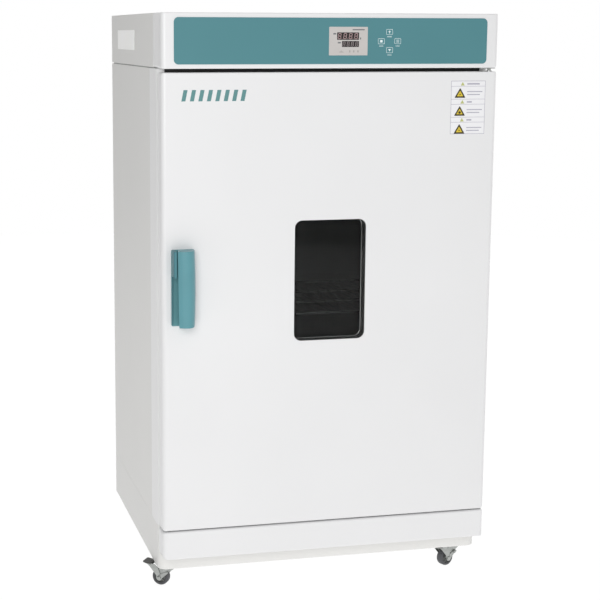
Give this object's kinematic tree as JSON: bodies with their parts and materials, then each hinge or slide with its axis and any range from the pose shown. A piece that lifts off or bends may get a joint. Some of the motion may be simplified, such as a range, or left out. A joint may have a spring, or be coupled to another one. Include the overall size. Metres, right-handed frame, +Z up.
{
  "type": "laboratory incubator",
  "caption": "Floor-standing laboratory incubator on castors: insulated cabinet, hinged door with window and lever handle, shelves, fan-heated chamber and a control header.",
  "frame": {"origin": "on the floor, at the middle of the overall box's footprint; the cabinet is centred on it from side to side", "axes": "+X to the right of someone facing the door, +Y from the door to the back, +Z up"},
  "size_m": [0.8286, 0.7106, 1.3282],
  "materials": {
    "black_plastic": "satin",
    "black_seal": "matte",
    "chromed_wire": "polished",
    "clear_glass": "polished",
    "dark_motor": "satin",
    "glass_wool": "matte",
    "green_board": "satin",
    "grey_face": "satin",
    "grey_tyre": "matte",
    "stainless": "satin",
    "teal_film": "satin",
    "teal_plastic": "satin",
    "white_enamel": "satin",
    "white_silicone": "matte",
    "zinc_steel": "satin"
  },
  "bodies": {
    "root": {"base_pan": "white_enamel", "kick_panel": "white_enamel", "front_frame": "white_enamel", "side_panel_left": "white_enamel", "side_panel_right": "white_enamel", "rear_panel": "white_enamel", "body_top_plate": "zinc_steel", "chamber_liner": "stainless", "insulation_mats": "glass_wool", "rear_duct_plate": "stainless", "shelf_rails": "stainless", "shelf_clips": "stainless", "fan_motor": "dark_motor", "heater_ring": "stainless", "temperature_probe": "stainless", "hinge_brackets": "zinc_steel", "latch_keeper": "zinc_steel", "header_fascia": "white_enamel", "header_cover": "white_enamel", "control_tray": "zinc_steel", "fascia_overlay": "teal_film", "display_plate": "grey_face", "display_led_modules": "black_plastic", "control_board": "green_board", "power_supply_and_relay": "black_plastic", "mains_module": "black_plastic", "castor_plates": "zinc_steel", "panel_screws": "zinc_steel"},
    "door": {"door_outer_shell": "white_enamel", "door_inner_pan": "stainless", "door_insulation": "glass_wool", "door_gasket": "white_silicone", "window_glass_panes": "clear_glass", "window_tunnel": "stainless", "window_seals": "black_seal", "handle_base": "teal_plastic", "hinge_bushes": "zinc_steel"},
    "handle_lever": {"handle_lever": "teal_plastic"},
    "latch_tongue": {"latch_tongue": "zinc_steel"},
    "fan_impeller": {"fan_impeller": "stainless"},
    "power_rocker": {"power_rocker": "black_plastic"},
    "key_up": {"key_up": "teal_film"},
    "key_left": {"key_left": "teal_film"},
    "key_right": {"key_right": "teal_film"},
    "key_down": {"key_down": "teal_film"},
    "shelf_lower": {"shelf_lower": "chromed_wire"},
    "shelf_middle": {"shelf_middle": "chromed_wire"},
    "shelf_upper": {"shelf_upper": "chromed_wire"},
    "castor_fork_front_left": {"castor_fork_front_left": "zinc_steel"},
    "castor_wheel_front_left": {"castor_wheel_front_left": "grey_tyre"},
    "castor_brake_front_left": {"castor_brake_front_left": "zinc_steel"},
    "castor_fork_front_right": {"castor_fork_front_right": "zinc_steel"},
    "castor_wheel_front_right": {"castor_wheel_front_right": "grey_tyre"},
    "castor_brake_front_right": {"castor_brake_front_right": "zinc_steel"},
    "castor_fork_rear_left": {"castor_fork_rear_left": "zinc_steel"},
    "castor_wheel_rear_left": {"castor_wheel_rear_left": "grey_tyre"},
    "castor_brake_rear_left": {"castor_brake_rear_left": "zinc_steel"},
    "castor_fork_rear_right": {"castor_fork_rear_right": "zinc_steel"},
    "castor_wheel_rear_right": {"castor_wheel_rear_right": "grey_tyre"},
    "castor_brake_rear_right": {"castor_brake_rear_right": "zinc_steel"}
  },
  "joints": [
    {"name": "door_hinge", "type": "hinge", "parent": "root", "child": "door", "pos_m": [0.378, -0.29423, 0.683], "axis": [0, 0, 1], "range_deg": [0, 120]},
    {"name": "handle_pull", "type": "hinge", "parent": "door", "child": "handle_lever", "pos_m": [-0.324, -0.32623, 0.727], "axis": [0, 0, 1], "range_deg": [0, 12], "stiffness_Nm_per_rad": 2, "springref_deg": -11.46},
    {"name": "latch_slide", "type": "slide", "parent": "door", "child": "latch_tongue", "axis": [-1, 0, 0], "range_m": [0, 0.0052]},
    {"name": "key_up_press", "type": "slide", "parent": "root", "child": "key_up", "axis": [0, 1, 0], "range_m": [0, 0.0004], "stiffness_N_per_m": 400, "springref_m": -0.001},
    {"name": "key_left_press", "type": "slide", "parent": "root", "child": "key_left", "axis": [0, 1, 0], "range_m": [0, 0.0004], "stiffness_N_per_m": 400, "springref_m": -0.001},
    {"name": "key_right_press", "type": "slide", "parent": "root", "child": "key_right", "axis": [0, 1, 0], "range_m": [0, 0.0004], "stiffness_N_per_m": 400, "springref_m": -0.001},
    {"name": "key_down_press", "type": "slide", "parent": "root", "child": "key_down", "axis": [0, 1, 0], "range_m": [0, 0.0004], "stiffness_N_per_m": 400, "springref_m": -0.001},
    {"name": "power_rocker_tilt", "type": "hinge", "parent": "root", "child": "power_rocker", "pos_m": [-0.3, 0.34937, 1.2495], "axis": [1, 0, 0], "range_deg": [0, 18]},
    {"name": "fan_spin", "type": "hinge", "parent": "root", "child": "fan_impeller", "pos_m": [0, 0.21877, 0.683], "axis": [0, 1, 0], "continuous": true},
    {"name": "shelf_lower_slide", "type": "slide", "parent": "root", "child": "shelf_lower", "axis": [0, -1, 0], "range_m": [0, 0.026]},
    {"name": "shelf_middle_slide", "type": "slide", "parent": "root", "child": "shelf_middle", "axis": [0, -1, 0], "range_m": [0, 0.026]},
    {"name": "shelf_upper_slide", "type": "slide", "parent": "root", "child": "shelf_upper", "axis": [0, -1, 0], "range_m": [0, 0.026]},
    {"name": "castor_swivel_front_left", "type": "hinge", "parent": "root", "child": "castor_fork_front_left", "pos_m": [-0.352, -0.22023, 0.05], "axis": [0, 0, 1], "continuous": true},
    {"name": "castor_roll_front_left", "type": "hinge", "parent": "castor_fork_front_left", "child": "castor_wheel_front_left", "pos_m": [-0.37253, -0.20596, 0.02], "axis": [-0.5708, -0.8211, 0], "continuous": true},
    {"name": "castor_brake_front_left", "type": "hinge", "parent": "castor_fork_front_left", "child": "castor_brake_front_left", "pos_m": [-0.37253, -0.20596, 0.02], "axis": [-0.5708, -0.8211, 0], "range_deg": [0, 18]},
    {"name": "castor_swivel_front_right", "type": "hinge", "parent": "root", "child": "castor_fork_front_right", "pos_m": [0.352, -0.22023, 0.05], "axis": [0, 0, 1], "continuous": true},
    {"name": "castor_roll_front_right", "type": "hinge", "parent": "castor_fork_front_right", "child": "castor_wheel_front_right", "pos_m": [0.32907, -0.2302, 0.02], "axis": [0.3987, -0.9171, 0], "continuous": true},
    {"name": "castor_brake_front_right", "type": "hinge", "parent": "castor_fork_front_right", "child": "castor_brake_front_right", "pos_m": [0.32907, -0.2302, 0.02], "axis": [0.3987, -0.9171, 0], "range_deg": [0, 18]},
    {"name": "castor_swivel_rear_left", "type": "hinge", "parent": "root", "child": "castor_fork_rear_left", "pos_m": [-0.352, 0.25777, 0.05], "axis": [0, 0, 1], "continuous": true},
    {"name": "castor_roll_rear_left", "type": "hinge", "parent": "castor_fork_rear_left", "child": "castor_wheel_rear_left", "pos_m": [-0.34026, 0.27984, 0.02], "axis": [-0.8829, 0.4695, 0], "continuous": true},
    {"name": "castor_brake_rear_left", "type": "hinge", "parent": "castor_fork_rear_left", "child": "castor_brake_rear_left", "pos_m": [-0.34026, 0.27984, 0.02], "axis": [-0.8829, 0.4695, 0], "range_deg": [0, 18]},
    {"name": "castor_swivel_rear_right", "type": "hinge", "parent": "root", "child": "castor_fork_rear_right", "pos_m": [0.352, 0.25777, 0.05], "axis": [0, 0, 1], "continuous": true},
    {"name": "castor_roll_rear_right", "type": "hinge", "parent": "castor_fork_rear_right", "child": "castor_wheel_rear_right", "pos_m": [0.37253, 0.2435, 0.02], "axis": [0.5708, 0.8211, 0], "continuous": true},
    {"name": "castor_brake_rear_right", "type": "hinge", "parent": "castor_fork_rear_right", "child": "castor_brake_rear_right", "pos_m": [0.37253, 0.2435, 0.02], "axis": [0.5708, 0.8211, 0], "range_deg": [0, 18]}
  ],
  "couplings": [
    {"joint": "latch_slide", "follows": "handle_pull", "m_per_rad": 0.023873}
  ]
}
